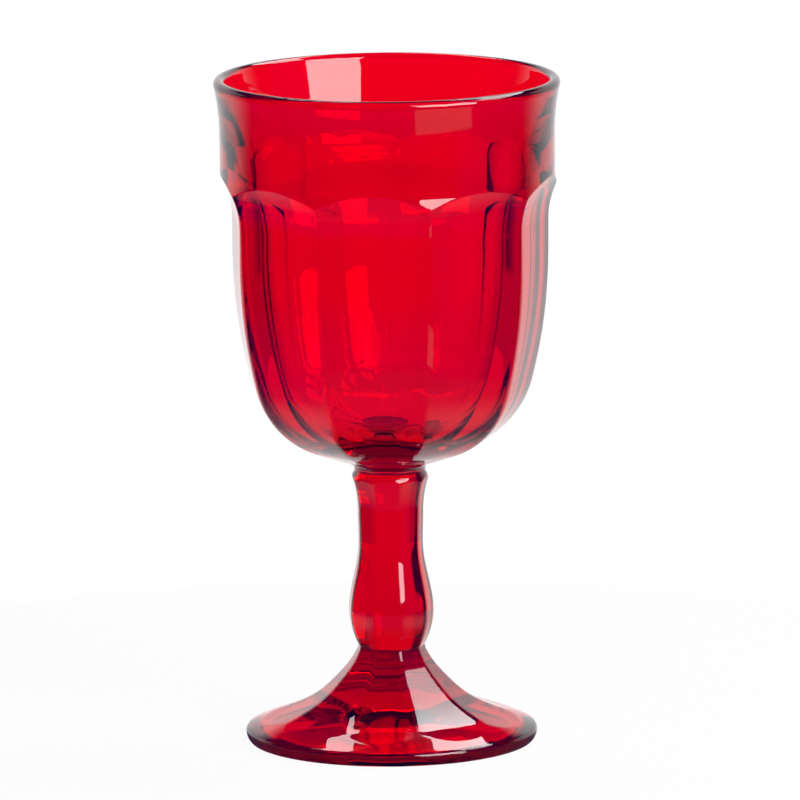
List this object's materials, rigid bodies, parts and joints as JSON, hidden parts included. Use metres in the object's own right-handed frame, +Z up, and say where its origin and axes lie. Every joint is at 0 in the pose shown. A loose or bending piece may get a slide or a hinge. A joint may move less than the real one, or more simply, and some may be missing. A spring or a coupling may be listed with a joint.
{
  "type": "water goblet",
  "caption": "Stemmed water goblet of red pressed glass: panelled bowl with arched panel tops under a plain lip band, ring collar, panelled baluster stem and panelled flaring foot.",
  "frame": {"origin": "on the table, at the middle of the foot's rest ring", "axes": "+Z up along the goblet's axis, with a panel of the bowl, stem and foot facing -Y"},
  "size_m": [0.0876, 0.0876, 0.17],
  "materials": {
    "red_glass": "clear red pressed glass, fire polished"
  },
  "bodies": {
    "root": {"foot": "red_glass", "stem": "red_glass", "collar": "red_glass", "bowl": "red_glass"}
  },
  "joints": []
}
